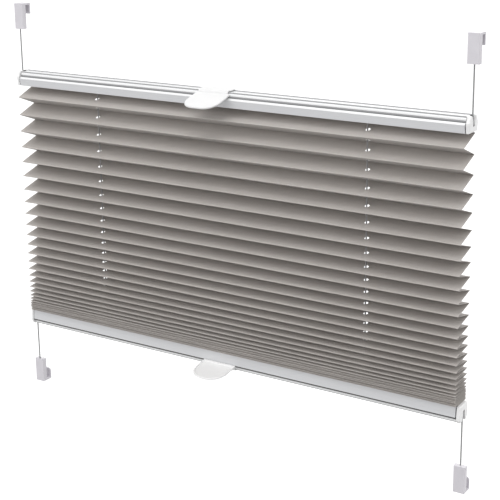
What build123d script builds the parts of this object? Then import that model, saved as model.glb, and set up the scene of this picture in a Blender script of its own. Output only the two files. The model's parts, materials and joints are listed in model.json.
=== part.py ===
from build123d import *
import math
import os

# Pleated blind on two tension cords, in millimetres.
# X runs along the rails, -Y faces the room, +Z is up.
# The origin lies midway between the seats of the two upper hooks, where the sash's top edge sits.

# Cloth
blind_width = 400.0
fold_width = 20.0
fabric_thickness = 0.25
crease_height = 0.3
open_pleats = 22
packed_pleats = 7
first_pitch = 15.13
last_pitch = 2.05
packed_pitch = 1.05
head_drop = 2.2
foot_rise = 0.5
cord_hole_diameter = 3.6
cord_hole_sides = 8
cord_hole_spacing = 246.0

# Rails: heights are counted from the cloth's side outwards
rail_depth = 15.0
rail_base_depth = 13.4
rail_wall = 1.0
lip_thickness = 1.5
lip_height = 1.55
lip_bevel = 1.35
lip_groove_width = 0.8
nose_overhang = 1.0
nose_gap = 0.2
nose_round_share = 0.48
nose_foot_round_share = 0.9
front_rib_height = 0.45
back_rib_height = 0.7
rib_width = 0.8
rib_spacing = 8.6
cavity_round = 0.4
top_face_height = 5.7
top_crown_rise = 3.95
bottom_face_height = 8.9
bottom_crown_rise = 1.8

# Strips that carry the cloth's ends inside the rails
strip_pad_width = 8.0
strip_head_width = 10.4
strip_head_thickness = 0.8
strip_clearance = 0.15

# End caps
cap_length = 3.7
cap_seam = 0.9
cap_overhang = 2.8
cap_plug_length = 9.0
cap_clearance = 0.15
cap_edge_round = 1.2
mouth_width = 6.4
mouth_depth = 5.2

# Cords
cord_diameter = 1.1
cord_sides = 8
cord_plane_offset = 0.75
cord_bend_radius = 3.0
cord_run_height = 5.2
cord_clearance = 0.3
cord_inset = 1.5
upper_cord_reach = 34.7
lower_cord_reach = 35.5

# Cord guides inside the rails
guide_length = 15.0
guide_clearance = 0.15

# Handles
handle_width = 29.8
top_handle_shift = -5.5
bottom_handle_shift = -2.9
saddle_setback = 1.65
saddle_thickness = 0.7
saddle_clearance = 0.1
saddle_round = 1.3
saddle_catch_thickness = 0.5
hook_gap = 0.15
tongue_thickness = 1.8
tongue_round = 0.7
top_tongue_length = 24.5
top_tongue_corner_share = 0.37
top_tongue_tilt = 16.0
top_tongue_lift = 0.5
bottom_tongue_length = 25.3
bottom_tongue_corner_share = 0.453
bottom_tongue_tilt = 8.6
bottom_tongue_lift = 0.8
rim_width = 1.6
dish_depth = 0.45
clip_roll_diameter = 2.6

# Hook brackets and the sleeves that hold the cord ends
bracket_width = 9.0
bracket_height = 21.0
bracket_body_depth = 4.2
hook_slot = 4.5
hook_bridge = 1.5
hook_leg_thickness = 1.2
upper_leg_length = 7.5
lower_leg_length = 8.0
bracket_round = 0.6
lower_leg_round = 2.2
ferrule_diameter = 2.4
ferrule_length = 5.0
ferrule_depth = 8.0
ferrule_clearance = 0.1

overrun = 1.0

os.makedirs("parts", exist_ok=True)


def finish(part, name):
    """Label a finished piece and write it as its own file."""
    part.label = name
    export_step(part, f"parts/{name}.step")


# Pleats: the open ones close evenly from the first pitch to the last, then the pack follows
closing = (first_pitch - last_pitch) / (open_pleats - 1)
pitches = [first_pitch - closing * i for i in range(open_pleats)] + [packed_pitch] * packed_pleats
cloth_height = head_drop + sum(pitches) + foot_rise

# Levels of the rails
face_height = {"top": top_face_height, "bottom": bottom_face_height}
crown_rise = {"top": top_crown_rise, "bottom": bottom_crown_rise}
crown_top = {side: face_height[side] + lip_height + crown_rise[side] for side in face_height}
rail_height = {side: crown_top[side] + back_rib_height for side in face_height}
upper_bracket_foot = hook_bridge - bracket_height
top_base = upper_bracket_foot - upper_cord_reach - rail_height["top"]
bottom_base = top_base - cloth_height
lower_bracket_head = bottom_base - rail_height["bottom"] - lower_cord_reach
lower_seat = lower_bracket_head - bracket_height + hook_bridge
rail_base = {"top": top_base, "bottom": bottom_base}
outward = {"top": 1, "bottom": -1}
end_sign = {"left": -1, "right": 1}

# Shared half sizes
half_rail = blind_width / 2 + cap_overhang - cap_length
rail_length = 2 * half_rail
half_lip = rail_depth / 2
half_base = rail_base_depth / 2
half_crown = half_lip - lip_thickness - lip_groove_width
half_neck = half_crown - nose_overhang
half_slot = strip_pad_width / 2 + strip_clearance
half_cavity = half_base - rail_wall
half_crown_cavity = half_neck - rail_wall
nose_round = {side: nose_round_share * (rise - nose_gap) for side, rise in crown_rise.items()}
nose_foot_limit = nose_foot_round_share * nose_overhang
nose_foot_round = {side: min(radius, nose_foot_limit) for side, radius in nose_round.items()}
cord_radius = cord_diameter / 2
cord_way = cord_plane_offset + cord_radius + cord_clearance
bend_inside = cord_bend_radius - cord_radius - cord_clearance
cord_x = half_rail + cap_length - cord_inset
hole_x = cord_hole_spacing / 2
strip_top = rail_wall + strip_head_thickness


def rail_plane(side, x):
    """Section plane across a rail at x: local x is the depth, local y runs outwards from the cloth."""
    up = outward[side]
    return Plane(origin=(x, 0, rail_base[side]), x_dir=(0, up, 0), z_dir=(1, 0, 0))


def level(side, height):
    """Height in Z of a level counted outwards from a rail's cloth side."""
    return rail_base[side] + outward[side] * height


def mirrored(half):
    """Close an outline from its points on the positive side of the depth axis."""
    return half + [(-y, v) for y, v in reversed(half)]


def rail_outline(side):
    """Outer outline of a rail on one side of its middle, from the cloth's side outwards."""
    face = face_height[side]
    lip = face + lip_height
    return [
        (half_base, 0),
        (half_lip, face),
        (half_lip, lip - lip_bevel),
        (half_lip - lip_bevel, lip),
        (half_lip - lip_thickness, lip),
        (half_lip - lip_thickness, face),
        (half_neck, face),
        (half_neck, lip + nose_gap),
        (half_crown, lip + nose_gap),
        (half_crown, crown_top[side]),
    ]


def rail_section(side):
    """Filled outer outline of a rail: bevelled lips, a crown with round noses and two ribs along it."""
    up = outward[side]
    with BuildSketch() as section:
        with BuildLine():
            Polyline(*mirrored(rail_outline(side)), close=True)
        make_face()
        crests = section.vertices().group_by(Axis.Y)[-1]
        feet = section.vertices().group_by(Axis.Y)[-2].sort_by(Axis.X)
        fillet(crests, nose_round[side])
        fillet([feet[0], feet[-1]], nose_foot_round[side])
        for place, rise in ((-up, front_rib_height), (up, back_rib_height)):
            with Locations((place * rib_spacing / 2, crown_top[side] - nose_round[side])):
                Rectangle(rib_width, nose_round[side] + rise, align=(Align.CENTER, Align.MIN))
    return section.sketch


def cavity_section(side, clearance, foot):
    """Filled section of what fits in the crown's cavity with a clearance, from a foot level outwards."""
    roof = crown_top[side] - rail_wall - clearance
    with BuildSketch() as section:
        with Locations((0, (roof + foot) / 2)):
            Rectangle(2 * (half_crown_cavity - clearance), roof - foot)
        fillet(section.vertices().group_by(Axis.Y)[-1], cavity_round)
    return section.sketch


# Rails: extruded with an open slot towards the cloth and a cavity for strip, guides and cords
for side in ("top", "bottom"):
    with BuildPart() as rail:
        with BuildSketch(rail_plane(side, -half_rail)):
            add(rail_section(side))
            add(cavity_section(side, 0, rail_wall), mode=Mode.SUBTRACT)
            with BuildLine():
                shoulder = face_height[side] - rail_wall
                Polyline(
                    *mirrored(
                        [
                            (half_slot, -overrun),
                            (half_slot, rail_wall),
                            (half_cavity, rail_wall),
                            (half_cavity, shoulder),
                        ]
                    ),
                    close=True,
                )
            make_face(mode=Mode.SUBTRACT)
        extrude(amount=rail_length)
    finish(rail.part, f"{side}_rail")

# Strips: a head inside the rail and a pad that fills its slot, pierced for the cords
for side in ("top", "bottom"):
    with BuildPart() as strip:
        with BuildSketch(rail_plane(side, -half_rail)):
            with BuildLine():
                Polyline(
                    *mirrored(
                        [
                            (strip_pad_width / 2, 0),
                            (strip_pad_width / 2, rail_wall),
                            (strip_head_width / 2, rail_wall),
                            (strip_head_width / 2, strip_top),
                        ]
                    ),
                    close=True,
                )
            make_face()
        extrude(amount=rail_length)
        with BuildSketch(Plane.XY.offset(level(side, 0))):
            with Locations((-hole_x, 0), (hole_x, 0)):
                Circle(cord_hole_diameter / 2)
        extrude(amount=outward[side] * (strip_top + overrun), mode=Mode.SUBTRACT)
    finish(strip.part, f"{side}_fabric_strip")


# End caps: a plate of the rail's own outline, a plug in its cavity and a V mouth for the cord
def cord_corner(x, z, inside_x, inside_z, far_x, far_z):
    """Filled way of a cord that turns a corner, rounded on the inside of its bend."""
    with BuildSketch() as corner:
        with BuildLine():
            Polyline(
                (x, far_z),
                (x, z),
                (far_x, z),
                (far_x, inside_z),
                (inside_x, inside_z),
                (inside_x, far_z),
                close=True,
            )
        make_face()
        fillet(corner.vertices().sort_by_distance((inside_x, inside_z))[0], bend_inside)
    return corner.sketch


for side in ("top", "bottom"):
    for end in ("left", "right"):
        sign = end_sign[end]
        with BuildPart() as cap:
            lip = face_height[side] + lip_height
            crest = rail_height[side]
            plate = [(half_base, 0), (half_lip, face_height[side]), (half_lip, lip), (half_crown, crest)]
            with BuildSketch(rail_plane(side, sign * (half_rail + cap_seam))):
                with BuildLine():
                    Polyline(*mirrored(plate), close=True)
                make_face()
            extrude(amount=sign * (cap_length - cap_seam))
            end_face = cap.faces().sort_by(Axis((0, 0, 0), (sign, 0, 0)))[-1]
            fillet(end_face.outer_wire().edges(), cap_edge_round)
            with BuildSketch(rail_plane(side, sign * (half_rail + cap_seam))):
                add(cavity_section(side, cap_clearance, strip_top + cap_clearance))
            extrude(amount=-sign * (cap_seam + cap_plug_length))
            with BuildSketch(rail_plane(side, sign * (half_rail + cap_length + overrun))):
                with BuildLine():
                    Polyline(
                        *mirrored(
                            [
                                (cord_way, crest - mouth_depth),
                                (mouth_width / 2, crest),
                                (mouth_width / 2, crest + overrun),
                            ]
                        ),
                        close=True,
                    )
                make_face()
            extrude(
                amount=-sign * (overrun + cord_inset + cord_radius + cord_clearance),
                mode=Mode.SUBTRACT,
            )
            with BuildSketch(Plane.XZ):
                add(
                    cord_corner(
                        sign * (half_rail + cap_length + overrun),
                        level(side, cord_run_height - cord_radius - cord_clearance),
                        sign * (cord_x - cord_radius - cord_clearance),
                        level(side, cord_run_height + cord_radius + cord_clearance),
                        sign * (half_rail - cap_plug_length - overrun),
                        level(side, rail_height[side] + overrun),
                    )
                )
            extrude(amount=cord_way, both=True, mode=Mode.SUBTRACT)
        finish(cap.part, f"{side}_{end}_end_cap")

# Cord guides: a saddle with a rounded edge on either side of the cord's hole
for side in ("top", "bottom"):
    for end in ("left", "right"):
        x = end_sign[end] * hole_x
        floor = cord_run_height - cord_radius - cord_clearance
        roof = crown_top[side] - rail_wall - guide_clearance
        with BuildPart() as guide:
            with BuildSketch(rail_plane(side, x - guide_length / 2)):
                add(cavity_section(side, guide_clearance, strip_top))
            extrude(amount=guide_length)
            with BuildSketch(Plane.XZ) as way_down:
                with BuildLine():
                    way = cord_radius + cord_clearance
                    reach = guide_length / 2 + overrun
                    Polyline(
                        (x - way, level(side, strip_top - overrun)),
                        (x - way, level(side, floor)),
                        (x - reach, level(side, floor)),
                        (x - reach, level(side, roof + overrun)),
                        (x + reach, level(side, roof + overrun)),
                        (x + reach, level(side, floor)),
                        (x + way, level(side, floor)),
                        (x + way, level(side, strip_top - overrun)),
                        close=True,
                    )
                make_face()
                turns = way_down.vertices().group_by(Axis.Y)[1].sort_by(Axis.X)[1:3]
                fillet(turns, bend_inside)
            extrude(amount=cord_way, both=True, mode=Mode.SUBTRACT)
        finish(guide.part, f"{side}_{end}_cord_guide")


# Cloth: one zigzag sheet between the strips, with short flats at its creases
def pleat_path():
    """Centre line of the cloth from the top strip to the bottom strip, as depth and height."""
    sheet = fabric_thickness / 2
    drops = [pitch / 2 - crease_height for pitch in pitches]
    depths = [math.sqrt(fold_width**2 - drop**2) for drop in drops]
    z = top_base - sheet
    path = [(-strip_pad_width / 2, z), (strip_pad_width / 2, z)]
    z = top_base - head_drop + crease_height / 2
    path += [(depths[0] / 2, z), (depths[0] / 2, z - crease_height)]
    z -= crease_height
    for drop, depth, next_depth in zip(drops, depths, depths[1:] + depths[-1:]):
        z -= drop
        path += [(-depth / 2, z), (-depth / 2, z - crease_height)]
        z -= crease_height + drop
        path += [(next_depth / 2, z), (next_depth / 2, z - crease_height)]
        z -= crease_height
    z = bottom_base + sheet
    return path + [(strip_pad_width / 2, z), (-strip_pad_width / 2, z)]


def beside(path, distance):
    """Points of a path shifted sideways, mitred at its corners."""
    shifted = []
    for i, point in enumerate(path):
        here = Vector(*point)
        before = (here - Vector(*path[i - 1])).normalized() if i > 0 else None
        after = (Vector(*path[i + 1]) - here).normalized() if i < len(path) - 1 else None
        before = before or after
        after = after or before
        normal = Vector(-before.Y - after.Y, before.X + after.X).normalized()
        reach = distance / normal.dot(Vector(-before.Y, before.X))
        shifted.append(((here + normal * reach).X, (here + normal * reach).Y))
    return shifted


cloth_path = pleat_path()
with BuildPart() as fabric:
    with BuildSketch(Plane.YZ.offset(-blind_width / 2)):
        with BuildLine():
            one_side = beside(cloth_path, fabric_thickness / 2)
            other_side = beside(cloth_path, -fabric_thickness / 2)
            Polyline(*one_side, *reversed(other_side), close=True)
        make_face()
    extrude(amount=blind_width)
    with BuildSketch(Plane.XY.offset(top_base + overrun)):
        with Locations((-hole_x, 0), (hole_x, 0)):
            RegularPolygon(cord_hole_diameter / 2, cord_hole_sides)
    extrude(amount=-(cloth_height + 2 * overrun), mode=Mode.SUBTRACT)
finish(fabric.part, "pleated_fabric")

# Cords: each crosses over inside both rails, so that the rails stay level as they slide
ferrule_top = hook_bridge - ferrule_depth
ferrule_bottom = lower_seat - hook_bridge + ferrule_depth
for end in ("left", "right"):
    sign = end_sign[end]
    with BuildPart() as cord:
        with BuildLine(Plane.XZ.offset(-sign * cord_plane_offset)):
            FilletPolyline(
                (sign * cord_x, ferrule_top),
                (sign * cord_x, level("top", cord_run_height)),
                (-sign * hole_x, level("top", cord_run_height)),
                (-sign * hole_x, level("bottom", cord_run_height)),
                (sign * cord_x, level("bottom", cord_run_height)),
                (sign * cord_x, ferrule_bottom),
                radius=cord_bend_radius,
            )
        with BuildSketch(Plane((sign * cord_x, sign * cord_plane_offset, ferrule_top), z_dir=(0, 0, -1))):
            RegularPolygon(cord_radius, cord_sides)
        sweep()
    finish(cord.part, f"{end}_cord")

# Brackets: a body with a keyway for the cord end behind it, and a hook over the sash's edge
half_body = bracket_body_depth / 2
leg_front = half_body + hook_slot
leg_back = leg_front + hook_leg_thickness
for row in ("upper", "lower"):
    for end in ("left", "right"):
        up = 1 if row == "upper" else -1
        seat = 0 if row == "upper" else lower_seat
        leg = upper_leg_length if row == "upper" else lower_leg_length
        foot = hook_bridge - bracket_height
        x = end_sign[end] * cord_x
        cord_y = end_sign[end] * cord_plane_offset
        with BuildPart() as bracket:
            with BuildSketch(Plane.YZ.offset(x - bracket_width / 2)):
                with BuildLine():
                    Polyline(
                        (-half_body, seat + up * foot),
                        (-half_body, seat + up * hook_bridge),
                        (leg_back, seat + up * hook_bridge),
                        (leg_back, seat - up * leg),
                        (leg_front, seat - up * leg),
                        (leg_front, seat),
                        (half_body, seat),
                        (half_body, seat + up * foot),
                        close=True,
                    )
                make_face()
            extrude(amount=bracket_width)
            corners = bracket.edges().filter_by(Axis.Z).group_by(Axis.Y)
            fillet(corners[0], bracket_round)
            brow = (x, leg_back, seat + up * hook_bridge)
            fillet(bracket.edges().filter_by(Axis.X).sort_by_distance(brow)[0], bracket_round)
            if row == "lower":
                tip = (x, leg_back, seat - up * leg)
                fillet(bracket.edges().filter_by(Axis.Y).sort_by_distance(tip)[:2], lower_leg_round)
            pocket = ferrule_diameter / 2 + ferrule_clearance
            way = cord_radius + cord_clearance
            head = seat + up * (hook_bridge - ferrule_depth + ferrule_clearance)
            shoulder = seat + up * (hook_bridge - ferrule_depth - ferrule_length)
            below = seat + up * (foot - overrun)
            for radius, start, stop in ((pocket, head, shoulder), (way, shoulder, below)):
                with BuildSketch(Plane.XY.offset(start)):
                    with Locations((x, cord_y)):
                        Circle(radius)
                    with Locations((x, (cord_y + half_body + overrun) / 2)):
                        Rectangle(2 * radius, half_body + overrun - cord_y)
                extrude(amount=stop - start, mode=Mode.SUBTRACT)
        finish(bracket.part, f"{row}_{end}_bracket")

        with BuildPart() as ferrule:
            with BuildSketch(Plane.XY.offset(shoulder)):
                with Locations((x, cord_y)):
                    Circle(ferrule_diameter / 2)
                    Circle(cord_radius, mode=Mode.SUBTRACT)
            extrude(amount=up * ferrule_length)
            rims = ferrule.edges().filter_by(GeomType.CIRCLE).group_by(SortBy.RADIUS)[-1]
            chamfer(rims, ferrule_clearance)
        finish(ferrule.part, f"{row}_{end}_ferrule")

# Handles: a saddle clipped over the crown, and a rounded tongue towards the room
saddle_width = handle_width - 2 * saddle_setback
saddle_inside = half_crown + saddle_clearance
saddle_outside = half_lip - lip_thickness - hook_gap
saddle_catch = rib_spacing / 2 + rib_width / 2 + saddle_clearance
saddle_back = saddle_catch + saddle_catch_thickness
lip_front = half_lip + hook_gap
handle_shift = {"top": top_handle_shift, "bottom": bottom_handle_shift}
tongue_length = {"top": top_tongue_length, "bottom": bottom_tongue_length}
corner_shares = {"top": top_tongue_corner_share, "bottom": bottom_tongue_corner_share}
tongue_tilt = {"top": math.radians(top_tongue_tilt), "bottom": math.radians(bottom_tongue_tilt)}


def saddle_section(side):
    """Band over a rail's crown, from the groove behind its front lip to a catch behind its back rib."""
    up = outward[side]
    foot = face_height[side] + hook_gap
    over = rail_height[side] + saddle_clearance
    points = [
        (-saddle_outside, foot),
        (-saddle_outside, over + saddle_thickness),
        (saddle_back, over + saddle_thickness),
        (saddle_back, crown_top[side]),
        (saddle_catch, crown_top[side]),
        (saddle_catch, over),
        (-saddle_inside, over),
        (-saddle_inside, foot),
    ]
    with BuildSketch() as section:
        with BuildLine():
            Polyline(*[(up * y, v) for y, v in points], close=True)
        make_face()
        for corner, radius in (
            ((-up * saddle_outside, over + saddle_thickness), saddle_round + saddle_thickness),
            ((-up * saddle_inside, over), saddle_round),
        ):
            fillet(section.vertices().sort_by_distance(corner)[0], radius)
    return section.sketch


def tongue_outline(side, root, inset):
    """Filled outline of a tongue from a root level on, drawn in by an inset at its rim."""
    length = tongue_length[side] - inset
    with BuildSketch() as outline:
        with Locations((0, root)):
            Rectangle(handle_width - 2 * inset, length + root, align=(Align.CENTER, Align.MAX))
        fillet(outline.vertices().group_by(Axis.Y)[0], corner_shares[side] * handle_width - inset)
    return outline.sketch


for side in ("top", "bottom"):
    shift = handle_shift[side]
    tilt = tongue_tilt[side]
    over_lip = face_height[side] + lip_height + hook_gap
    if side == "top":
        rise = (half_lip - saddle_outside) * math.tan(tilt) + top_tongue_lift
        root = (shift, -saddle_outside, level(side, over_lip + rise))
        root_reach = saddle_outside - saddle_inside
        thickness = tongue_thickness
    else:
        lean = tongue_thickness * math.sin(tilt)
        root = (shift, -lip_front - lean, level(side, face_height[side] - bottom_tongue_lift))
        root_reach = 0
        thickness = -tongue_thickness
    tongue_plane = Plane(origin=root, x_dir=(1, 0, 0), z_dir=(0, -math.sin(tilt), math.cos(tilt)))
    with BuildPart() as handle:
        with BuildSketch(tongue_plane):
            add(tongue_outline(side, root_reach, 0))
        extrude(amount=thickness)
        underside = handle.faces().sort_by(SortBy.AREA)[-2:].sort_by(Axis.Z)[0]
        chamfer(underside.edges().sort_by(Axis.Y)[:-1], tongue_round)
        upper_side = handle.faces().sort_by(SortBy.AREA)[-2:].sort_by(Axis.Z)[-1]
        fillet(upper_side.edges().sort_by(Axis.Y)[:-1], tongue_round)
        with BuildSketch(rail_plane(side, shift - saddle_width / 2)):
            add(saddle_section(side))
        extrude(amount=saddle_width)
        if side == "bottom":
            with BuildSketch(tongue_plane):
                add(tongue_outline(side, -rim_width, rim_width))
            extrude(amount=-dish_depth, mode=Mode.SUBTRACT)
            roll_y = -lip_front - clip_roll_diameter / 2
            with BuildSketch(Plane.YZ.offset(shift - saddle_width / 2)):
                with Locations((roll_y, level(side, over_lip))):
                    Circle(clip_roll_diameter / 2)
                with Locations((-saddle_inside, level(side, over_lip))):
                    Rectangle(-saddle_inside - roll_y, saddle_thickness, align=(Align.MAX, Align.MAX))
            extrude(amount=saddle_width)
    finish(handle.part, f"{side}_handle")
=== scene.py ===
import json
import math

import bpy
import numpy as np
from mathutils import Matrix, Vector


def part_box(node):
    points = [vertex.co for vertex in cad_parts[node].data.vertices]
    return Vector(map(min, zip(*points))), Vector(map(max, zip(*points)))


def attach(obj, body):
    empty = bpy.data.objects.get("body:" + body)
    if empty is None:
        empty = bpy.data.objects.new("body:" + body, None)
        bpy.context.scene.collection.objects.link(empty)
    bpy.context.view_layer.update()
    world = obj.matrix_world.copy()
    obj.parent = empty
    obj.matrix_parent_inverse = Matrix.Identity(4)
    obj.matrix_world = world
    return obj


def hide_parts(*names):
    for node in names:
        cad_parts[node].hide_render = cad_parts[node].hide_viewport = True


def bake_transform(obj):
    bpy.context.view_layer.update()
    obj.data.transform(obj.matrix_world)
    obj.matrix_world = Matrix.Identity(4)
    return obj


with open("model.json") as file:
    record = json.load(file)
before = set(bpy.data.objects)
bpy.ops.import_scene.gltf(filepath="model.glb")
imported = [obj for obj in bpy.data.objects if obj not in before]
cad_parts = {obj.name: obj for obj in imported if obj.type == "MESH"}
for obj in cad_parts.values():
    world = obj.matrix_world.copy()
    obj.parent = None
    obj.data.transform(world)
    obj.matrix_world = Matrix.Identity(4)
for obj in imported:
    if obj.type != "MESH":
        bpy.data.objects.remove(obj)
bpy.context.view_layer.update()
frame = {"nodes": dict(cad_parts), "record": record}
nodes = frame["nodes"]
scene = bpy.context.scene
rng = np.random.default_rng(seed=11)
MM = 0.001
FULL_TURN = 2 * math.pi

# Sizes repeated from the solids, in metres
FOLD_WIDTH = 20.0 * MM
OPEN_PLEATS = 22
PACKED_PLEATS = 7
FIRST_PITCH = 15.13 * MM
LAST_PITCH = 2.05 * MM
PACKED_PITCH = 1.05 * MM
HEAD_DROP = 2.2 * MM
PAD_HALF = 4.0 * MM
HOLE_RADIUS = 1.8 * MM
HOLE_X = 123.0 * MM
CORD_DIAMETER = 1.1 * MM
CORD_PLANE = 0.75 * MM
CORD_RUN_HEIGHT = 5.2 * MM
CORD_END_TOP = -6.5 * MM
FACE_HEIGHT = {"top": 5.7 * MM, "bottom": 8.9 * MM}
LIP_HEIGHT = 1.55 * MM
LIP_INSIDE = 6.0 * MM
CROWN_TOP = {"top": 11.2 * MM, "bottom": 12.25 * MM}
RIB_MIDDLE = 4.3 * MM
RIB_HALF = 0.4 * MM
RAIL_END = 199.1 * MM
CAP_FACE = 202.8 * MM

# Places read from the solids
TOP_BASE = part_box("top_fabric_strip")[0].z
BOTTOM_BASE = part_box("bottom_fabric_strip")[1].z
MIDDLE = (TOP_BASE + BOTTOM_BASE) / 2
CORD_HIGH = TOP_BASE + CORD_RUN_HEIGHT
CORD_LOW = BOTTOM_BASE - CORD_RUN_HEIGHT
CORD_END_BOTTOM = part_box("left_cord")[0].z
CORD_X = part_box("right_cord")[1].x - CORD_DIAMETER / 2
HALF_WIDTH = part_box("pleated_fabric")[1].x

# The cloth as shown: thinner than its solid, with wandering creases and an uneven pack
CLOTH_THICKNESS = 0.16 * MM
CREASE_HEIGHT = 0.18 * MM
WAVE_SHARE = 0.010
WAVE_PARTS = (0.55, 0.3, 0.15)
SHORTEST_WAVES_MM = (150, 70, 35)
LONGEST_WAVES_MM = (260, 120, 60)
PACK_RECESS = 1.1 * MM
CLOSED_DROP = 0.56 * MM
MITRE_LIMIT = 0.5

# How the soft pieces are divided and shaded
SHARP_ANGLE = math.radians(35.0)
PANEL_ROWS = 6
PLAIN_ROWS = 2
CREASE_ROWS = 4
HOLE_PATCH = 6.0 * MM
PATCH_CELLS = 6
EDGE_CELLS = 8
MIDDLE_CELLS = 26
CORD_SIDES = 12
CORD_BEND_STEPS = 12

# Limits of the painted highlight and the painted shade, and spacings of the finishes
PAINTED_HIGHLIGHT_START = 0.2 * MM
GROOVE_START = -0.05 * MM
GROOVE_REACH = {"top": 1.5 * MM, "bottom": 0.0}
GROOVE_SLACK = 0.02 * MM
RIB_SLACK = 0.03 * MM
RIB_DEPTH = 0.6 * MM
PAINTED_SHADOW_LINE_START = -0.6 * MM
PAINTED_SHADOW_LINE_END = 0.8 * MM
PAINTED_SHADOW_LINE_INSIDE = 0.1 * MM
MOUTH_HALF = 1.6 * MM
MOUTH_FLOOR = 2.0 * MM
MOUTH_RIM = 0.2 * MM
SEAM_WIDTH = 0.85 * MM
THREAD_SPACING = 0.42 * MM
STRAND_SPACING = 0.75 * MM
GRAIN_SPREAD = 0.06

# Colours, a varied one by its darker and its lighter end
CLOTH_GREY = ((0.455, 0.425, 0.40), (0.535, 0.503, 0.478))
BRUSHED = ((0.62, 0.625, 0.64), (0.70, 0.705, 0.72))
# Painted highlight for the rails' lip and crown
PAINTED_HIGHLIGHT = ((0.86, 0.865, 0.87), (0.90, 0.90, 0.905))
WHITE = ((0.81, 0.81, 0.81), (0.84, 0.84, 0.84))
CAP_WHITE = ((0.90, 0.90, 0.90), (0.92, 0.92, 0.92))
# Painted light: the white plastic made lighter for the bottom handle, which lies in the blind's
# shade
PAINTED_LIGHT_WHITE = ((0.92, 0.92, 0.92), (0.94, 0.94, 0.94))
BRACKET_GREY = ((0.68, 0.66, 0.70), (0.73, 0.71, 0.75))
INNER_WHITE = ((0.78, 0.78, 0.77), (0.84, 0.84, 0.83))
CORD_GREY = ((0.27, 0.27, 0.275), (0.40, 0.40, 0.405))
STEEL = ((0.5, 0.5, 0.5), (0.62, 0.62, 0.62))
# Painted shade in the rails' groove between lip and crown
PAINTED_GROOVE_SHADE = (0.36, 0.36, 0.37)
# Painted shade on the sides of the crown's ribs
PAINTED_RIB_SHADE = (0.38, 0.38, 0.39)
# Painted shadow: a dark line along the bottom rail where its face meets the lip
PAINTED_SHADOW_LINE = (0.06, 0.06, 0.06)
# Painted shade in the end caps' seam at the rail and inside the cord's mouth
PAINTED_CAP_SHADE = (0.04, 0.04, 0.04)


def new_object(name, points, faces, surface):
    """A mesh object of one material, smooth but for its sharp edges."""
    mesh = bpy.data.meshes.new(name)
    mesh.from_pydata([tuple(p) for p in points], [], faces)
    mesh.validate()
    obj = bpy.data.objects.new(name, mesh)
    scene.collection.objects.link(obj)
    mesh.materials.append(surface)
    mesh.polygons.foreach_set("use_smooth", [True] * len(mesh.polygons))
    mesh.set_sharp_from_angle(angle=SHARP_ANGLE)
    return obj


def around(count):
    """Pairs of neighbours round a ring."""
    return [(k, (k + 1) % count) for k in range(count)]


# Helpers for material nodes
def material(name, **values):
    """A new node material, with constant values on its shader's own sockets."""
    made = bpy.data.materials.new(name)
    made.use_nodes = True
    shader = made.node_tree.nodes["Principled BSDF"]
    for socket, value in values.items():
        shader.inputs[socket].default_value = value
    return made, made.node_tree, shader


def add_node(tree, kind, **values):
    """A node with values set by socket name, or by attribute where there is no such socket."""
    made = tree.nodes.new(kind)
    for key, value in values.items():
        if key in made.inputs:
            made.inputs[key].default_value = value
        else:
            setattr(made, key, value)
    return made


def place_sockets(tree):
    """Object coordinates in metres, as three sockets."""
    where = add_node(tree, "ShaderNodeTexCoord")
    axes = add_node(tree, "ShaderNodeSeparateXYZ")
    tree.links.new(where.outputs["Object"], axes.inputs["Vector"])
    return axes.outputs["X"], axes.outputs["Y"], axes.outputs["Z"]


def noise(tree, per_metre, detail):
    """Noise with so many features to the metre along each axis."""
    where = add_node(tree, "ShaderNodeTexCoord")
    mapping = add_node(tree, "ShaderNodeMapping", Scale=per_metre)
    made = add_node(tree, "ShaderNodeTexNoise", Scale=1.0, Detail=detail, Roughness=0.55)
    tree.links.new(where.outputs["Object"], mapping.inputs["Vector"])
    tree.links.new(mapping.outputs["Vector"], made.inputs["Vector"])
    return made.outputs["Fac"]


def ramp(tree, value, colours, start=0.3, end=0.7):
    """A colour between two, by a value from start to end."""
    made = add_node(tree, "ShaderNodeValToRGB")
    for stop, position, colour in zip(made.color_ramp.elements, (start, end), colours):
        stop.position = position
        stop.color = (*colour, 1.0)
    tree.links.new(value, made.inputs["Fac"])
    return made.outputs["Color"]


def to_range(tree, value, low, high):
    """A 0 to 1 value spread over another range."""
    made = add_node(tree, "ShaderNodeMapRange", **{"To Min": low, "To Max": high})
    tree.links.new(value, made.inputs["Value"])
    return made.outputs["Result"]


def calc(tree, operation, a, b=None):
    """A math node of one or two values, each a socket or a number."""
    made = add_node(tree, "ShaderNodeMath", operation=operation)
    for socket, value in zip(made.inputs, (a, b)):
        if value is None:
            continue
        if isinstance(value, (int, float)):
            socket.default_value = value
        else:
            tree.links.new(value, socket)
    return made.outputs["Value"]


def weighted(tree, *parts):
    """The sum of sockets, each with its weight."""
    scaled = [calc(tree, "MULTIPLY", socket, weight) for socket, weight in parts]
    total = scaled[0]
    for value in scaled[1:]:
        total = calc(tree, "ADD", total, value)
    return total


def ripple(tree, value, spacing):
    """A sine that comes round again after each spacing."""
    return calc(tree, "SINE", calc(tree, "MULTIPLY", value, FULL_TURN / spacing))


def above(tree, value, limit):
    """1 where a value is over a limit, else 0."""
    return calc(tree, "GREATER_THAN", value, limit)


def below(tree, value, limit):
    """1 where a value is under a limit, else 0."""
    return calc(tree, "LESS_THAN", value, limit)


def all_of(tree, *masks):
    """1 where every mask is 1, else 0."""
    made = masks[0]
    for mask in masks[1:]:
        made = calc(tree, "MULTIPLY", made, mask)
    return made


def between(tree, value, low, high):
    """1 where a value lies between two limits, else 0."""
    return all_of(tree, above(tree, value, low), below(tree, value, high))


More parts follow.
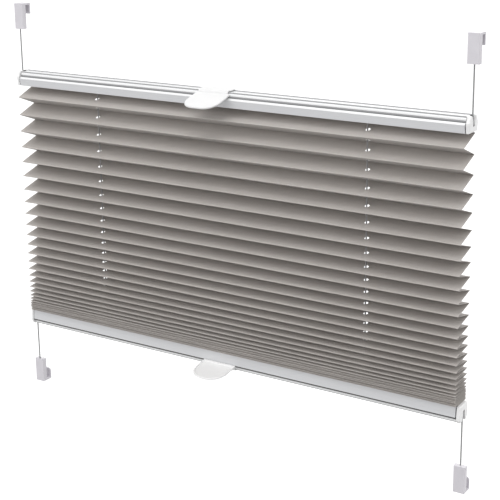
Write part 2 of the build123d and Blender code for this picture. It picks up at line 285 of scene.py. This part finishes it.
def mixed(tree, share, under, over):
    """One colour laid over another by a share, each a socket or a colour."""
    made = add_node(tree, "ShaderNodeMix", data_type="RGBA")
    # The node's colour sockets come after those for numbers and vectors
    factor, first, second, result = made.inputs[0], made.inputs[6], made.inputs[7], made.outputs[2]
    for socket, value in ((factor, share), (first, under), (second, over)):
        if isinstance(value, tuple):
            socket.default_value = (*value, 1.0)
        else:
            tree.links.new(value, socket)
    return result


def bump(tree, shader, height, distance, strength):
    """Bump from a height, over a distance in metres."""
    made = add_node(tree, "ShaderNodeBump", Distance=distance, Strength=strength)
    tree.links.new(height, made.inputs["Height"])
    tree.links.new(made.outputs["Normal"], shader.inputs["Normal"])


def seen_rays(tree):
    """1 for rays of the eye, straight, mirrored or through glass, else 0."""
    path = add_node(tree, "ShaderNodeLightPath")
    seen = calc(tree, "MAXIMUM", path.outputs["Is Camera Ray"], path.outputs["Is Glossy Ray"])
    return calc(tree, "MAXIMUM", seen, path.outputs["Is Transmission Ray"])


# Materials
def cloth_material():
    """Plain-woven polyester in warm grey, with threads along and across and slubs along the weft."""
    looks = {"Roughness": 0.82, "Sheen Weight": 0.12, "Sheen Roughness": 0.5}
    made, tree, shader = material("cloth", **looks)
    x, y, _ = place_sockets(tree)
    warp = ripple(tree, x, THREAD_SPACING)
    weft = ripple(tree, y, THREAD_SPACING)
    weave = to_range(tree, calc(tree, "MULTIPLY", warp, weft), low=0.0, high=1.0)
    slub = noise(tree, per_metre=(45.0, 1500.0, 1500.0), detail=4.0)
    grain = noise(tree, per_metre=(1400.0, 160.0, 160.0), detail=3.0)
    cloud = noise(tree, per_metre=(14.0, 60.0, 60.0), detail=2.0)
    tone = weighted(tree, (slub, 0.5), (grain, 0.3), (cloud, 0.2))
    tree.links.new(ramp(tree, tone, CLOTH_GREY), shader.inputs["Base Color"])
    height = calc(tree, "ADD", weave, calc(tree, "MULTIPLY", slub, 0.8))
    bump(tree, shader, height, distance=0.05 * MM, strength=0.5)
    return made


def rail_material(side):
    """Anodised aluminium: a face brushed along the rail, a painted highlight on the lip and crown,
    and painted shade in the recesses, on the ribs' sides and along the bottom rail's face.
    """
    up, base = (1, TOP_BASE) if side == "top" else (-1, BOTTOM_BASE)
    face, crown = FACE_HEIGHT[side], CROWN_TOP[side]
    made, tree, shader = material(f"{side}_rail", **{"Metallic": 0.15, "Anisotropic": 0.5})
    long_lines = noise(tree, per_metre=(12.0, 3800.0, 3800.0), detail=4.0)
    short_lines = noise(tree, per_metre=(160.0, 5200.0, 5200.0), detail=2.0)
    lines = weighted(tree, (long_lines, 0.6), (short_lines, 0.4))
    _, y, z = place_sockets(tree)
    height = calc(tree, "MULTIPLY", calc(tree, "SUBTRACT", z, base), up)
    depth = calc(tree, "ABSOLUTE", y)
    # Painted highlight: the lip and crown are coloured lighter than the brushed face
    highlight_zone = above(tree, height, face + PAINTED_HIGHLIGHT_START)
    colour = mixed(tree, highlight_zone, ramp(tree, lines, BRUSHED), ramp(tree, lines, PAINTED_HIGHLIGHT))
    # Painted shade: the groove between lip and crown, and on the top rail the crown's wall above it,
    # coloured darker
    groove_end = face + LIP_HEIGHT + GROOVE_REACH[side]
    groove = all_of(
        tree,
        below(tree, depth, LIP_INSIDE + GROOVE_SLACK),
        between(tree, height, face + GROOVE_START, groove_end),
    )
    colour = mixed(tree, groove, colour, PAINTED_GROOVE_SHADE)
    # Painted shade: the sides of the ribs along the crown are coloured darker
    from_rib = calc(tree, "ABSOLUTE", calc(tree, "SUBTRACT", depth, RIB_MIDDLE))
    rib_side_shade = all_of(
        tree,
        between(tree, from_rib, RIB_HALF - RIB_SLACK, RIB_HALF + RIB_SLACK),
        above(tree, height, crown - RIB_DEPTH),
    )
    colour = mixed(tree, rib_side_shade, colour, PAINTED_RIB_SHADE)
    # On the bottom rail, a painted shadow line where the face meets the lip
    if side == "bottom":
        foot = all_of(
            tree,
            above(tree, depth, LIP_INSIDE + PAINTED_SHADOW_LINE_INSIDE),
            between(tree, height, face + PAINTED_SHADOW_LINE_START, face + PAINTED_SHADOW_LINE_END),
        )
        colour = mixed(tree, foot, colour, PAINTED_SHADOW_LINE)
    tree.links.new(colour, shader.inputs["Base Color"])
    tree.links.new(to_range(tree, lines, low=0.3, high=0.5), shader.inputs["Roughness"])
    bump(tree, shader, lines, distance=0.02 * MM, strength=0.4)
    return made


def plastic_material(name, colours, roughness, coat=0.0, painted_shade_mask=None):
    """Moulded plastic with a fine eggshell grain, and painted shade where a mask puts it."""
    looks = {"IOR": 1.48, "Coat Weight": coat, "Coat Roughness": 0.2}
    made, tree, shader = material(name, **looks)
    grain = noise(tree, per_metre=(1800.0, 1800.0, 1800.0), detail=2.0)
    cloud = noise(tree, per_metre=(70.0, 70.0, 70.0), detail=3.0)
    colour = ramp(tree, cloud, colours)
    # Painted shade where the mask puts it
    if painted_shade_mask:
        colour = mixed(tree, painted_shade_mask(tree), colour, PAINTED_CAP_SHADE)
    tree.links.new(colour, shader.inputs["Base Color"])
    smoother, rougher = roughness - GRAIN_SPREAD, roughness + GRAIN_SPREAD
    varied = to_range(tree, grain, low=smoother, high=rougher)
    tree.links.new(varied, shader.inputs["Roughness"])
    bump(tree, shader, grain, distance=0.03 * MM, strength=0.3)
    return made


def cap_painted_shade(tree):
    """1 where shade is painted on an end cap, in its seam at the rail and inside the cord's mouth,
    else 0.
    """
    x, y, z = place_sockets(tree)
    out = calc(tree, "ABSOLUTE", x)
    over_top = calc(tree, "SUBTRACT", z, TOP_BASE)
    under_bottom = calc(tree, "SUBTRACT", BOTTOM_BASE, z)
    mouth = all_of(
        tree,
        below(tree, calc(tree, "ABSOLUTE", y), MOUTH_HALF),
        below(tree, out, CAP_FACE - MOUTH_RIM),
        above(tree, calc(tree, "MAXIMUM", over_top, under_bottom), MOUTH_FLOOR),
    )
    return calc(tree, "MAXIMUM", mouth, below(tree, out, RAIL_END + SEAM_WIDTH))


def cord_material():
    """Braided grey cord."""
    made, tree, shader = material("cord", **{"Roughness": 0.7, "Sheen Weight": 0.1})
    x, y, z = place_sockets(tree)
    along = calc(tree, "ADD", z, x)
    one = ripple(tree, calc(tree, "ADD", along, y), STRAND_SPACING)
    other = ripple(tree, calc(tree, "SUBTRACT", along, y), STRAND_SPACING)
    braid = to_range(tree, calc(tree, "MULTIPLY", one, other), low=0.0, high=1.0)
    colour = ramp(tree, braid, CORD_GREY, start=0.2, end=0.8)
    tree.links.new(colour, shader.inputs["Base Color"])
    bump(tree, shader, braid, distance=0.12 * MM, strength=0.8)
    return made


def metal_material():
    """Plain crimped sleeve of steel, lightly scratched round about."""
    made, tree, shader = material("sleeve", **{"Metallic": 1.0})
    lines = noise(tree, per_metre=(600.0, 600.0, 6000.0), detail=3.0)
    tree.links.new(ramp(tree, lines, STEEL), shader.inputs["Base Color"])
    tree.links.new(to_range(tree, lines, low=0.28, high=0.42), shader.inputs["Roughness"])
    bump(tree, shader, lines, distance=0.02 * MM, strength=0.4)
    return made


cloth = cloth_material()
cord = cord_material()
# End caps carry painted shade in the seam at the rail and inside the cord's mouth
cap = plastic_material("end_cap", CAP_WHITE, roughness=0.4, coat=0.15, painted_shade_mask=cap_painted_shade)
handle_white_painted_lighter = plastic_material("white_plastic_painted_lighter", PAINTED_LIGHT_WHITE, roughness=0.4, coat=0.15)

SLOT_MATERIALS = {
    "white_plastic": plastic_material("white_plastic", WHITE, roughness=0.4, coat=0.15),
    "bracket_plastic": plastic_material("bracket_plastic", BRACKET_GREY, roughness=0.42, coat=0.1),
    "inner_plastic": plastic_material("inner_plastic", INNER_WHITE, roughness=0.5),
    "pleated_cloth": cloth,
    "tension_cord": cord,
    "ferrule_metal": metal_material(),
}
# The bottom handle gets a lighter copy of the white plastic, painted light against the shade it lies
# in
NODE_MATERIALS = {"bottom_handle": handle_white_painted_lighter}
for side in ("top", "bottom"):
    NODE_MATERIALS[f"{side}_rail"] = rail_material(side)
    NODE_MATERIALS[f"{side}_left_end_cap"] = cap
    NODE_MATERIALS[f"{side}_right_end_cap"] = cap
for part in frame["record"]["subparts"]:
    node = part["node"]
    mesh = nodes[node].data
    mesh.materials.clear()
    mesh.materials.append(NODE_MATERIALS.get(node) or SLOT_MATERIALS[part["material_slot"]])


# Cloth: the zigzag line that the solid follows, with rounded creases
closing = (FIRST_PITCH - LAST_PITCH) / (OPEN_PLEATS - 1)
pitches = [FIRST_PITCH - closing * i for i in range(OPEN_PLEATS)]
pitches += [PACKED_PITCH] * PACKED_PLEATS


def cloth_rows():
    """Rows from the top strip to the bottom one: depth, height, the creases before and after, and
    the share of the way between these. Also the first row of each panel that the cords go through,
    and the middle row of each crease."""
    drops = [pitch / 2 - CREASE_HEIGHT for pitch in pitches]
    depths = [math.sqrt(FOLD_WIDTH**2 - drop**2) for drop in drops]
    rows, pierced, creases = [], [], []

    def panel(start, end, waves, holes):
        if holes:
            pierced.append(len(rows))
        count = PANEL_ROWS if holes else PLAIN_ROWS
        for i in range(count):
            share = i / count
            place = [a + (b - a) * share for a, b in zip(start, end)]
            rows.append((*place, *waves, share))

    def crease(y, z, wave):
        radius = CREASE_HEIGHT / 2
        side = math.copysign(radius, y)
        creases.append(len(rows) + CREASE_ROWS // 2)
        for i in range(CREASE_ROWS):
            turn = math.pi / 2 - math.pi * i / CREASE_ROWS
            depth, height = y + side * math.cos(turn), z - radius * (1 - math.sin(turn))
            rows.append((depth, height, wave, wave, 0.0))

    head = TOP_BASE - CLOTH_THICKNESS / 2
    foot = BOTTOM_BASE + CLOTH_THICKNESS / 2
    z = TOP_BASE - HEAD_DROP + CREASE_HEIGHT / 2
    panel((-PAD_HALF, head), (PAD_HALF, head), (None, None), True)
    panel((PAD_HALF, head), (depths[0] / 2, z), (None, 0), False)
    crease(depths[0] / 2, z, 0)
    z -= CREASE_HEIGHT
    wave = 0
    back = depths[0]
    for drop, depth, next_depth in zip(drops, depths, depths[1:] + depths[-1:]):
        panel((back / 2, z), (-depth / 2, z - drop), (wave, wave + 1), True)
        z -= drop
        crease(-depth / 2, z, wave + 1)
        z -= CREASE_HEIGHT
        panel((-depth / 2, z), (next_depth / 2, z - drop), (wave + 1, wave + 2), True)
        z -= drop
        crease(next_depth / 2, z, wave + 2)
        z -= CREASE_HEIGHT
        back = next_depth
        wave += 2
    panel((back / 2, z), (PAD_HALF, foot), (wave, None), False)
    panel((PAD_HALF, foot), (-PAD_HALF, foot), (None, None), True)
    rows.append((-PAD_HALF, foot, None, None, 0.0))
    return rows, pierced, creases


rows, pierced, creases = cloth_rows()

# Columns of the cloth, with finer ones about the cords' holes
near_hole = np.linspace(-HOLE_PATCH, HOLE_PATCH, PATCH_CELLS + 1)
columns = np.concatenate(
    [
        np.linspace(-HALF_WIDTH, -HOLE_X - HOLE_PATCH, EDGE_CELLS + 1)[:-1],
        near_hole - HOLE_X,
        np.linspace(-HOLE_X + HOLE_PATCH, HOLE_X - HOLE_PATCH, MIDDLE_CELLS + 1)[1:-1],
        near_hole + HOLE_X,
        np.linspace(HOLE_X + HOLE_PATCH, HALF_WIDTH, EDGE_CELLS + 1)[1:],
    ]
)
patch_starts = [int(np.argmin(abs(columns - (x - HOLE_PATCH)))) for x in (-HOLE_X, HOLE_X)]

# Each crease wanders a little along its length, less where the pleats lie close
crease_count = 2 * len(pitches) + 1
wave_sizes = []
for i in range(crease_count):
    pleat = min(max(i - 1, 0) // 2, len(pitches) - 1)
    wave_sizes.append(WAVE_SHARE * pitches[pleat])

# The creases of the pack stand back unevenly
packed = 2 * PACKED_PLEATS
inward = np.where(np.arange(crease_count) % 2, 1, -1)
recesses = np.zeros(crease_count)
recesses[-packed:] = rng.uniform(0, PACK_RECESS, packed) * inward[-packed:]

wave_shape = (crease_count, len(WAVE_PARTS))
wave_phases = rng.uniform(0, FULL_TURN, (*wave_shape, 2))
wave_lengths = rng.uniform(SHORTEST_WAVES_MM, LONGEST_WAVES_MM, wave_shape) * MM


def wander(crease, x):
    """How far a crease stands off its line at x, in depth and height."""
    made = np.zeros((2, np.size(x)))
    if crease is None:
        return made
    for k, share in enumerate(WAVE_PARTS):
        for axis in range(2):
            phase = wave_phases[crease, k, axis]
            made[axis] += share * np.sin(FULL_TURN * x / wave_lengths[crease, k] + phase)
    made *= wave_sizes[crease]
    made[0] += recesses[crease]
    return made


# Normals of the line at its rows, and how much further a mitred corner reaches along them
line = np.array([row[:2] for row in rows])
ahead = np.vstack([line[1:] - line[:-1], line[-1:] - line[-2:-1]])
behind = np.vstack([ahead[:1], ahead[:-1]])
ahead /= np.linalg.norm(ahead, axis=1)[:, None]
behind /= np.linalg.norm(behind, axis=1)[:, None]
normals = np.stack([-(ahead + behind)[:, 1], (ahead + behind)[:, 0]], axis=1)
normals /= np.linalg.norm(normals, axis=1)[:, None]
ahead_normals = np.stack([-ahead[:, 1], ahead[:, 0]], axis=1)
reach = 1 / np.clip((normals * ahead_normals).sum(1), MITRE_LIMIT, 1)


def stood_off(x, y, z, waves, share, shift):
    """Points of the line at x, moved by the creases' wander and by a shift in depth and height."""
    off = wander(waves[0], x) * (1 - share) + wander(waves[1], x) * share
    return np.stack([x, y + off[0] + shift[0], z + off[1] + shift[1]], axis=1)


def row_points(row, side):
    """Points of a row of the cloth at every column, on one face of the sheet."""
    y, z, before, after, share = rows[row]
    shift = side * CLOTH_THICKNESS / 2 * reach[row] * normals[row]
    return stood_off(columns, y, z, (before, after), share, shift)


def hole_ring(row, centre, side):
    """Rim of a cord's hole in the panel that starts at a row, from the patch's first corner round,
    and the height of each of its points on the line."""
    start, end = np.array(rows[row][:2]), np.array(rows[row + PANEL_ROWS][:2])
    turn = np.arange(4 * PATCH_CELLS) / (4 * PATCH_CELLS) * FULL_TURN + math.pi / 4
    x = centre - HOLE_RADIUS * np.cos(turn)
    y = math.copysign(HOLE_RADIUS, start[0] - end[0]) * np.sin(turn)
    share = (y - start[0]) / (end[0] - start[0])
    z = start[1] + (end[1] - start[1]) * share
    shift = side * CLOTH_THICKNESS / 2 * normals[row + PANEL_ROWS // 2]
    return stood_off(x, y, z, rows[row][2:4], share, shift), z


def patch_loop(row, start):
    """Rows and columns of the corners round a hole's patch, from its first corner."""
    steps = range(PATCH_CELLS)
    loop = [(row, start + j) for j in steps]
    loop += [(row + j, start + PATCH_CELLS) for j in steps]
    loop += [(row + PANEL_ROWS, start + PATCH_CELLS - j) for j in steps]
    loop += [(row + PANEL_ROWS - j, start) for j in steps]
    return loop


def cloth_piece(name, first, last):
    """The cloth between two rows, as a closed thin sheet, and each vertex's height on the line."""
    count, wide = last - first + 1, len(columns)
    points, level, faces, covered = [], [], [], set()
    for side in (1, -1):
        for row in range(first, last + 1):
            points.append(row_points(row, side))
            level.append(np.full(wide, rows[row][1]))

    def index(side, row, column):
        return (0 if side > 0 else count * wide) + (row - first) * wide + column

    def outward(quad, side):
        return quad if side < 0 else quad[::-1]

    # A fan of faces round each hole, and the wall inside it
    total = 2 * count * wide
    for row in pierced:
        if row < first or row + PANEL_ROWS > last:
            continue
        for start, centre in zip(patch_starts, (-HOLE_X, HOLE_X)):
            for i in range(PANEL_ROWS):
                covered |= {(row + i, start + j) for j in range(PATCH_CELLS)}
            loop = patch_loop(row, start)
            rims = []
            for side in (1, -1):
                ring, heights = hole_ring(row, centre, side)
                rim = range(total, total + len(ring))
                rims.append(rim)
                points.append(ring)
                level.append(heights)
                total += len(ring)
                for k, n in around(len(ring)):
                    quad = (index(side, *loop[k]), index(side, *loop[n]), rim[n], rim[k])
                    faces.append(outward(quad, side))
            for k, n in around(len(rims[0])):
                faces.append((rims[0][k], rims[0][n], rims[1][n], rims[1][k]))

    # The two faces of the sheet elsewhere
    for side in (1, -1):
        for row in range(first, last):
            for column in range(wide - 1):
                if (row, column) not in covered:
                    quad = (
                        index(side, row, column),
                        index(side, row, column + 1),
                        index(side, row + 1, column + 1),
                        index(side, row + 1, column),
                    )
                    faces.append(outward(quad, side))

    # Its four edges
    def edge(*corners):
        faces.append(tuple(index(*corner) for corner in corners))

    end = wide - 1
    for row in range(first, last):
        edge((1, row, 0), (1, row + 1, 0), (-1, row + 1, 0), (-1, row, 0))
        edge((1, row + 1, end), (1, row, end), (-1, row, end), (-1, row + 1, end))
    for column in range(wide - 1):
        beside = column + 1
        edge((1, first, column), (-1, first, column), (-1, first, beside), (1, first, beside))
        edge((-1, last, column), (1, last, column), (1, last, beside), (-1, last, beside))

    points, level = np.concatenate(points), np.concatenate(level)
    used, numbered = np.unique(np.array(faces), return_inverse=True)
    quads = [tuple(int(v) for v in quad) for quad in numbered.reshape(-1, 4)]
    return new_object(name, points[used], quads, cloth), level[used]


def share_travel(obj, weights):
    mesh = obj.data
    final = np.zeros(len(mesh.vertices) * 3)
    mesh.vertices.foreach_get("co", final)
    eased = 0.5 - np.sin(np.arcsin(1 - 2 * np.clip(weights, 0, 1)) / 3)
    laid = final.reshape(-1, 3).copy()
    laid[:, 2] = eased
    mesh.vertices.foreach_set("co", laid.ravel())
    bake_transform(obj)
    mesh.vertices.foreach_set("co", final)
    mesh.update()


def fold_weights(first, last, level, upwards):
    """Share of the rail's travel at each height: a fold gives by how far it is open."""
    marks = [first] + [c for c in creases if first < c < last] + [last]
    opened = [0.0]
    for a, b in zip(marks[:-1], marks[1:]):
        opened.append(opened[-1] + max(rows[a][1] - rows[b][1] - CLOSED_DROP, 0.0))
    opened = np.array(opened) / opened[-1]
    found = np.interp(-level, [-rows[m][1] for m in marks], opened)
    return 1 - found if upwards else found


# The cloth is parted at the crease nearest its middle, into an upper and a lower half
parting = min(creases, key=lambda c: abs(rows[c][1] - MIDDLE))
for name, first, last, body in (
    ("cloth_upper", 0, parting, "top_rail"),
    ("cloth_lower", parting, len(rows) - 1, "bottom_rail"),
):
    piece, level = cloth_piece(name, first, last)
    share_travel(piece, fold_weights(first, last, level, body == "top_rail"))
    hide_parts("pleated_fabric")


# Cords: each runs along one smooth line, and bends within this distance of a corner
CORD_STRAIGHT = 6 * CORD_DIAMETER


def cord_line(sign):
    """Points of a cord's line, read from its spline."""
    out, inside = sign * CORD_X, -sign * HOLE_X
    from_out, from_inside = out - sign * CORD_STRAIGHT, inside + sign * CORD_STRAIGHT
    route = [
        (out, CORD_END_TOP),
        (out, CORD_HIGH + CORD_STRAIGHT),
        (out, CORD_HIGH),
        (from_out, CORD_HIGH),
        (from_inside, CORD_HIGH),
        (inside, CORD_HIGH),
        (inside, CORD_HIGH - CORD_STRAIGHT),
        (inside, CORD_LOW + CORD_STRAIGHT),
        (inside, CORD_LOW),
        (from_inside, CORD_LOW),
        (from_out, CORD_LOW),
        (out, CORD_LOW),
        (out, CORD_LOW - CORD_STRAIGHT),
        (out, CORD_END_BOTTOM),
    ]
    curve = bpy.data.curves.new("cord_line", "CURVE")
    curve.dimensions = "3D"
    spline = curve.splines.new("NURBS")
    spline.points.add(len(route) - 1)
    for point, (x, z) in zip(spline.points, route):
        point.co = (x, sign * CORD_PLANE, z, 1.0)
    spline.order_u = 3
    spline.use_endpoint_u = True
    spline.resolution_u = CORD_BEND_STEPS
    holder = bpy.data.objects.new("cord_line", curve)
    mesh = bpy.data.meshes.new_from_object(holder)
    points = np.array([v.co for v in mesh.vertices])
    bpy.data.objects.remove(holder)
    bpy.data.curves.remove(curve)
    bpy.data.meshes.remove(mesh)
    return points


def tube(name, points):
    """A closed tube of the cord's size along points."""
    headings = np.gradient(points, axis=0)
    headings /= np.linalg.norm(headings, axis=1)[:, None]
    across = np.array([0.0, 1.0, 0.0])
    turn = np.arange(CORD_SIDES) / CORD_SIDES * FULL_TURN
    rings, faces = [], []
    for point, heading in zip(points, headings):
        circle = np.outer(np.cos(turn), across) + np.outer(np.sin(turn), np.cross(heading, across))
        rings.append(point + CORD_DIAMETER / 2 * circle)
    last = (len(points) - 1) * CORD_SIDES
    for i in range(0, last, CORD_SIDES):
        j = i + CORD_SIDES
        faces += [(i + k, i + n, j + n, j + k) for k, n in around(CORD_SIDES)]
    faces.append(tuple(range(CORD_SIDES))[::-1])
    faces.append(tuple(last + k for k in range(CORD_SIDES)))
    return new_object(name, np.concatenate(rings), faces, cord)


def cut(points, marks):
    """Runs of a line between its points nearest to the marks."""
    found = [int(np.argmin(np.linalg.norm(points - np.array(m), axis=1))) for m in marks]
    return [points[a : b + 1] for a, b in zip([0] + found, found + [len(points) - 1])]


CORD_RUNS = ("upper", "top_run", "inner_upper", "inner_lower", "bottom_run", "lower")
for end, sign in (("left", -1), ("right", 1)):
    y, out, inside = sign * CORD_PLANE, sign * CORD_X, -sign * HOLE_X
    marks = [
        (out, y, CORD_HIGH + CORD_STRAIGHT),
        (inside, y, CORD_HIGH - CORD_STRAIGHT),
        (inside, y, MIDDLE),
        (inside, y, CORD_LOW + CORD_STRAIGHT),
        (out, y, CORD_LOW - CORD_STRAIGHT),
    ]
    for name, run in zip(CORD_RUNS, cut(cord_line(sign), marks)):
        piece = tube(f"{end}_cord_{name}", run)
        if name in ("top_run", "bottom_run"):
            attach(piece, "top_rail" if name == "top_run" else "bottom_rail")
        else:
            body = "top_rail" if name in ("upper", "inner_upper") else "bottom_rail"
            z = np.array([v.co.z for v in piece.data.vertices])
            weight = (z - z.min()) / (z.max() - z.min())
            share_travel(piece, weight if name in ("inner_upper", "lower") else 1 - weight)
        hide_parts(f"{end}_cord")

# Camera at the photo's viewing angle
CAMERA_AT = Vector((0.5193, -0.7794, 0.1118))
YAW, PITCH, ROLL = (math.radians(a) for a in (32.495, 15.09, -0.713))
FOCAL_SHARE = 2.5024
LENS_SHIFT = -0.1
SENSOR = 36.0
forward = Vector(
    (-math.sin(YAW) * math.cos(PITCH), math.cos(YAW) * math.cos(PITCH), -math.sin(PITCH))
)
level_right = Vector((math.cos(YAW), math.sin(YAW), 0.0))
level_up = level_right.cross(forward)
right = math.cos(ROLL) * level_right + math.sin(ROLL) * level_up
up = -math.sin(ROLL) * level_right + math.cos(ROLL) * level_up
turned = Matrix((right, up, -forward)).transposed().to_4x4()
camera = bpy.data.objects.new("camera", bpy.data.cameras.new("camera"))
scene.collection.objects.link(camera)
camera.data.sensor_width = SENSOR
camera.data.lens = FOCAL_SHARE * SENSOR
camera.data.shift_y = LENS_SHIFT
camera.data.clip_start = 0.01
camera.data.clip_end = 100.0
camera.matrix_world = Matrix.Translation(CAMERA_AT) @ turned
scene.camera = camera

# Floor, far enough below that its shadow stays soft, and white to the eye
FLOOR_LEVEL = -1.1
FLOOR_HALF = 12.0
FLOOR_GLOW = 0.85
FLOOR_GREY = (0.42, 0.42, 0.42, 1.0)
PURE_WHITE = (1.0, 1.0, 1.0, 1.0)
looks = {"Base Color": FLOOR_GREY, "Roughness": 0.9, "Emission Color": PURE_WHITE}
floor_material, floor_tree, floor_shader = material("floor", **looks)
glow = calc(floor_tree, "MULTIPLY", seen_rays(floor_tree), FLOOR_GLOW)
floor_tree.links.new(glow, floor_shader.inputs["Emission Strength"])
square = [(-1, -1), (1, -1), (1, 1), (-1, 1)]
corners = [(x * FLOOR_HALF, y * FLOOR_HALF, FLOOR_LEVEL) for x, y in square]
floor = new_object("floor", corners, [(0, 1, 2, 3)], floor_material)

# World: white to the eye and in reflections, a soft plain light on the object
AMBIENT = 0.82
world = bpy.data.worlds.new("world")
scene.world = world
world.use_nodes = True
sky = world.node_tree
sky.nodes.clear()
shown = add_node(sky, "ShaderNodeBackground", Color=PURE_WHITE, Strength=1.0)
ambient = add_node(sky, "ShaderNodeBackground", Color=PURE_WHITE, Strength=AMBIENT)
either = add_node(sky, "ShaderNodeMixShader")
output = add_node(sky, "ShaderNodeOutputWorld")
sky.links.new(seen_rays(sky), either.inputs[0])
sky.links.new(ambient.outputs[0], either.inputs[1])
sky.links.new(shown.outputs[0], either.inputs[2])
sky.links.new(either.outputs[0], output.inputs["Surface"])

# Lamps: square soft ones that face the object, by name, place, size in metres and power in watts
LAMPS = (
    ("key", (0.1, -0.6, 1.4), 1.1, 6.8),
    ("fill", (-0.6, -1.35, 0.5), 1.2, 5.5),
    ("side", (1.6, 0.05, 0.1), 0.9, 3.5),
    ("back", (-0.3, 1.4, 0.5), 0.9, 3.2),
)
LAMP_TARGET = Vector((0.0, 0.0, -0.16))
for name, place, size, power in LAMPS:
    lamp = bpy.data.lights.new(name, "AREA")
    lamp.shape = "SQUARE"
    lamp.size = size
    lamp.energy = power
    softbox = bpy.data.objects.new(name, lamp)
    scene.collection.objects.link(softbox)
    softbox.location = place
    softbox.rotation_euler = (LAMP_TARGET - Vector(place)).to_track_quat("-Z", "Y").to_euler()

scene.view_settings.view_transform = "Standard"
